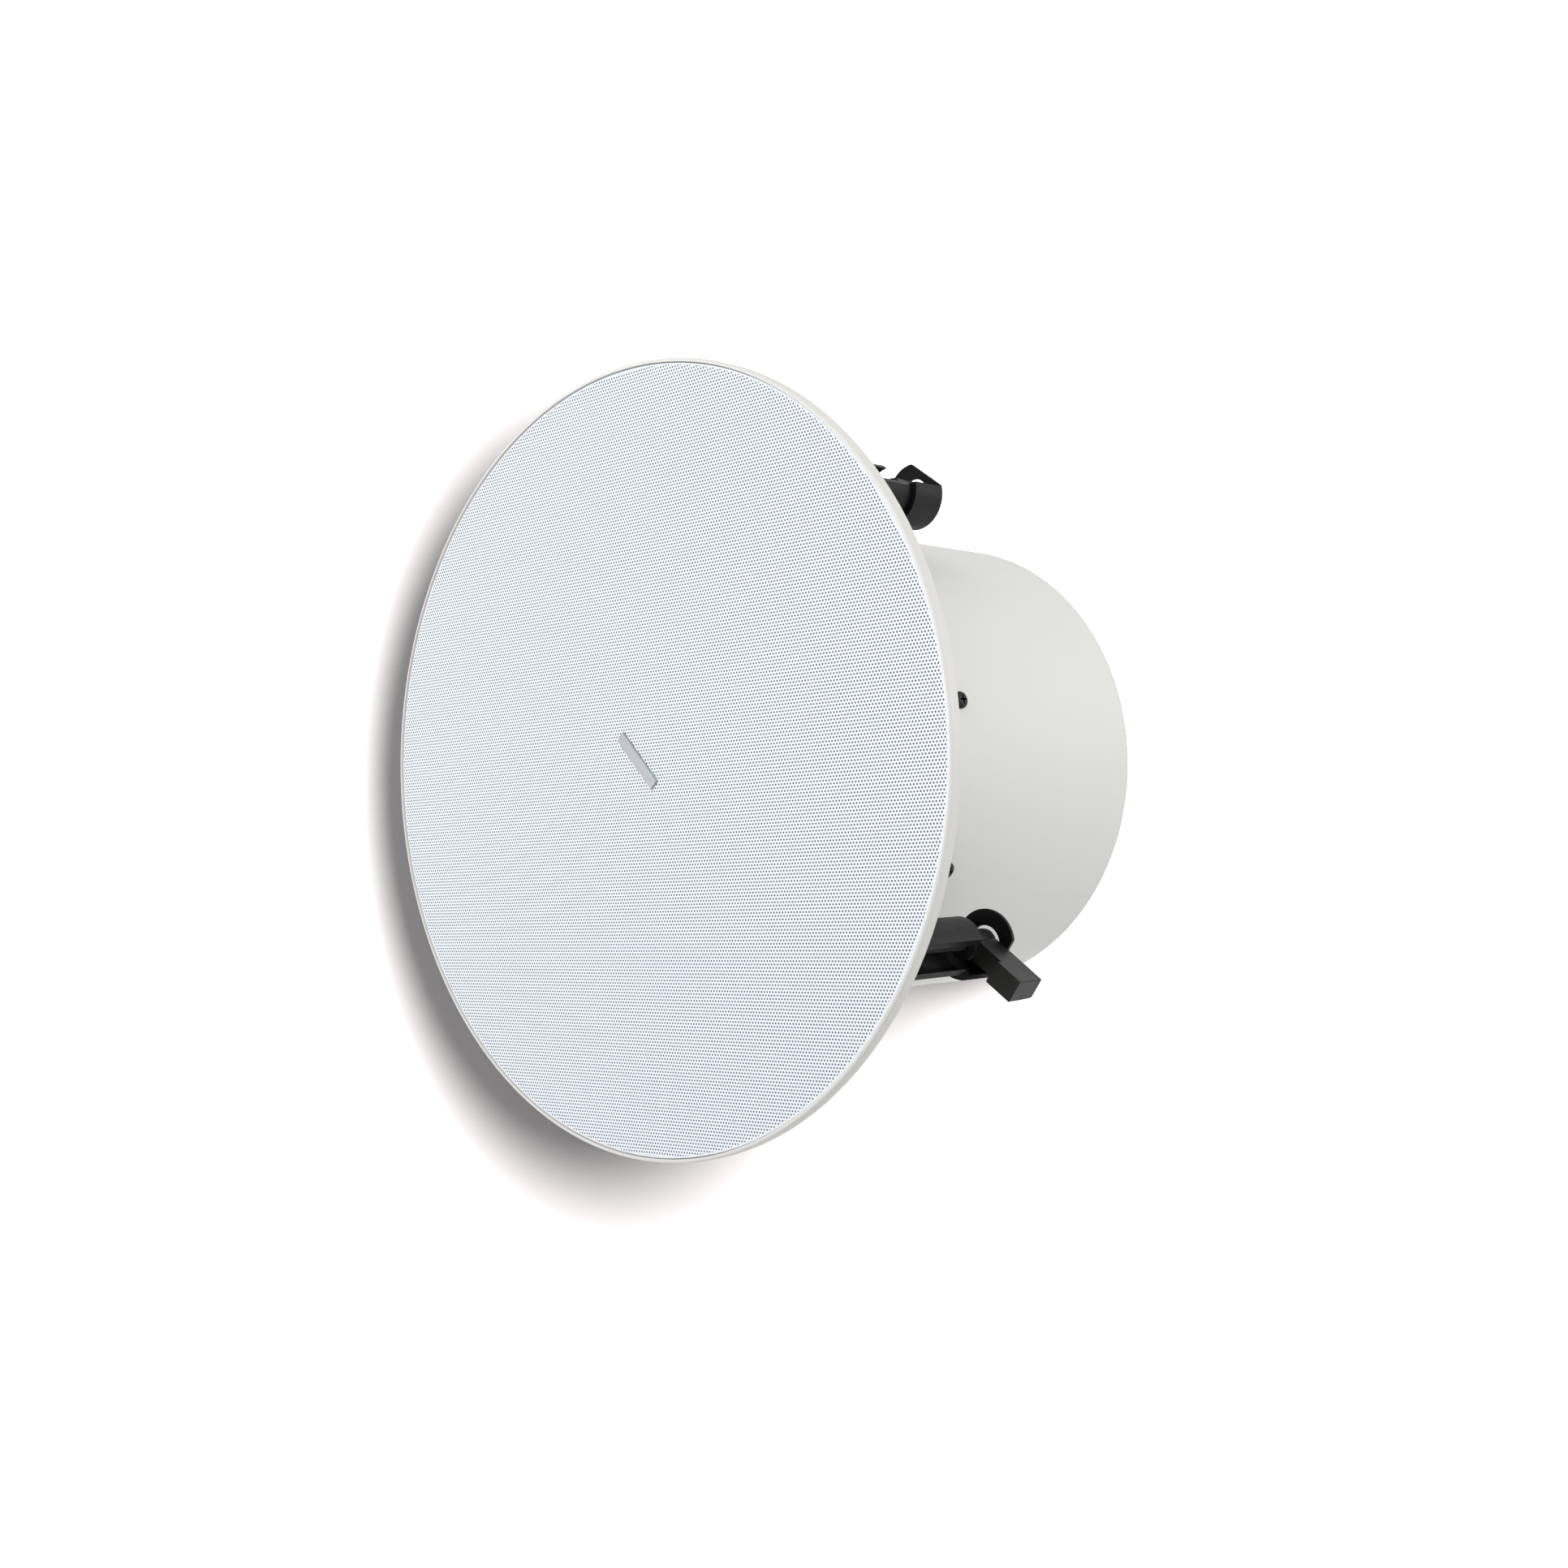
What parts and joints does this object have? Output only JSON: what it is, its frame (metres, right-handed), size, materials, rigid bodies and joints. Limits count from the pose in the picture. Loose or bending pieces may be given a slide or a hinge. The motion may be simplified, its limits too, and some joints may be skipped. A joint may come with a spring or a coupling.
{
  "type": "ceiling speaker",
  "caption": "Flush-mount ceiling speaker: round perforated grille in a white bezel, steel back can, black swing-out clamps on screw towers and a coaxial driver inside.",
  "frame": {"origin": "centre of the bezel's front face, on the plane of the lip", "axes": "+Z from the grille to the back of the can, square to the ceiling; +X through the screw of the clamp that stands open"},
  "size_m": [0.32, 0.32, 0.219],
  "materials": {
    "white_plastic": "moulded, satin",
    "grille_paint": "powder coat, perforated",
    "black_cloth": "acoustic cloth",
    "badge_metal": "brushed, bare",
    "can_paint": "powder coat",
    "foam": "closed-cell foam",
    "zinc": "zinc plated",
    "frame_paint": "black paint",
    "black_steel": "black finish",
    "ferrite": "ground ferrite",
    "copper": "enamelled wire",
    "paper": "pulp",
    "woven_cloth": "resin-stiffened cloth",
    "rubber": "moulded, matt",
    "black_plastic": "moulded, satin",
    "clamp_plastic": "glass-filled nylon",
    "brass": "turned",
    "core_steel": "laminated, varnished",
    "winding_tape": "polyester tape",
    "white_wadding": "fibre wadding",
    "board_green": "solder mask",
    "film_yellow": "dipped",
    "cement": "ceramic",
    "ivory_plastic": "moulded"
  },
  "bodies": {
    "root": {"bezel": "white_plastic", "grille": "grille_paint", "grille_cloth": "black_cloth", "badge_plate": "badge_metal", "back_can": "can_paint", "can_seal": "foam", "can_screws": "zinc", "clamp_tower_1": "black_plastic", "clamp_tower_2": "black_plastic", "clamp_tower_3": "black_plastic", "clamp_tower_4": "black_plastic", "tower_screws": "zinc", "woofer_frame": "frame_paint", "frame_seal": "foam", "frame_screws": "black_steel", "front_plate": "zinc", "magnet_ring": "ferrite", "pole_yoke": "zinc", "spider": "woven_cloth", "surround": "rubber", "trim_ring": "foam", "tweeter_housing": "black_plastic", "tweeter_motor": "ferrite", "tweeter_dome": "woven_cloth", "tweeter_waveguide": "black_plastic", "tweeter_post": "zinc", "tweeter_nut": "brass", "transformer_core": "core_steel", "transformer_coil": "winding_tape", "transformer_bracket": "zinc", "transformer_screws": "black_steel", "wadding": "white_wadding", "crossover_board": "board_green", "board_spacers": "zinc", "board_screws": "zinc", "capacitor": "film_yellow", "inductor": "copper", "resistor": "cement", "terminal_block": "ivory_plastic", "terminal_cover": "can_paint", "cover_screws": "zinc", "cable_grommet": "rubber", "wire_grommet": "rubber", "safety_bracket": "zinc", "bracket_screw": "zinc"},
    "clamp_screw_1_body": {"clamp_screw_1": "black_steel"},
    "clamp_dog_1_body": {"clamp_dog_1": "clamp_plastic"},
    "clamp_2_body": {"clamp_dog_2": "clamp_plastic", "clamp_screw_2": "black_steel"},
    "clamp_3_body": {"clamp_dog_3": "clamp_plastic", "clamp_screw_3": "black_steel"},
    "clamp_4_body": {"clamp_dog_4": "clamp_plastic", "clamp_screw_4": "black_steel"},
    "cone_body": {"cone": "paper", "voice_coil": "copper", "coil_former": "paper"}
  },
  "joints": [
    {"name": "clamp_1_screw_turn", "type": "hinge", "parent": "root", "child": "clamp_screw_1_body", "pos_m": [0.13, 0, 0.05], "axis": [0, 0, 1], "range_deg": [0, 9720]},
    {"name": "clamp_1_travel", "type": "slide", "parent": "root", "child": "clamp_dog_1_body", "axis": [0, 0, -1], "range_m": [0, 0.054]},
    {"name": "clamp_2_swing", "type": "hinge", "parent": "root", "child": "clamp_2_body", "pos_m": [0, 0.13, 0.08], "axis": [0, 0, 1], "range_deg": [0, 120]},
    {"name": "clamp_3_swing", "type": "hinge", "parent": "root", "child": "clamp_3_body", "pos_m": [-0.13, 0, 0.08], "axis": [0, 0, 1], "range_deg": [0, 120]},
    {"name": "clamp_4_swing", "type": "hinge", "parent": "root", "child": "clamp_4_body", "pos_m": [0, -0.13, 0.08], "axis": [0, 0, 1], "range_deg": [0, 120]},
    {"name": "cone_travel", "type": "slide", "parent": "root", "child": "cone_body", "axis": [0, 0, 1], "range_m": [-0.003, 0.003], "stiffness_N_per_m": 1200, "deforming": ["surround", "spider"]}
  ],
  "couplings": [
    {"joint": "clamp_1_screw_turn", "follows": "clamp_1_travel", "rad_per_m": 3141.6}
  ]
}
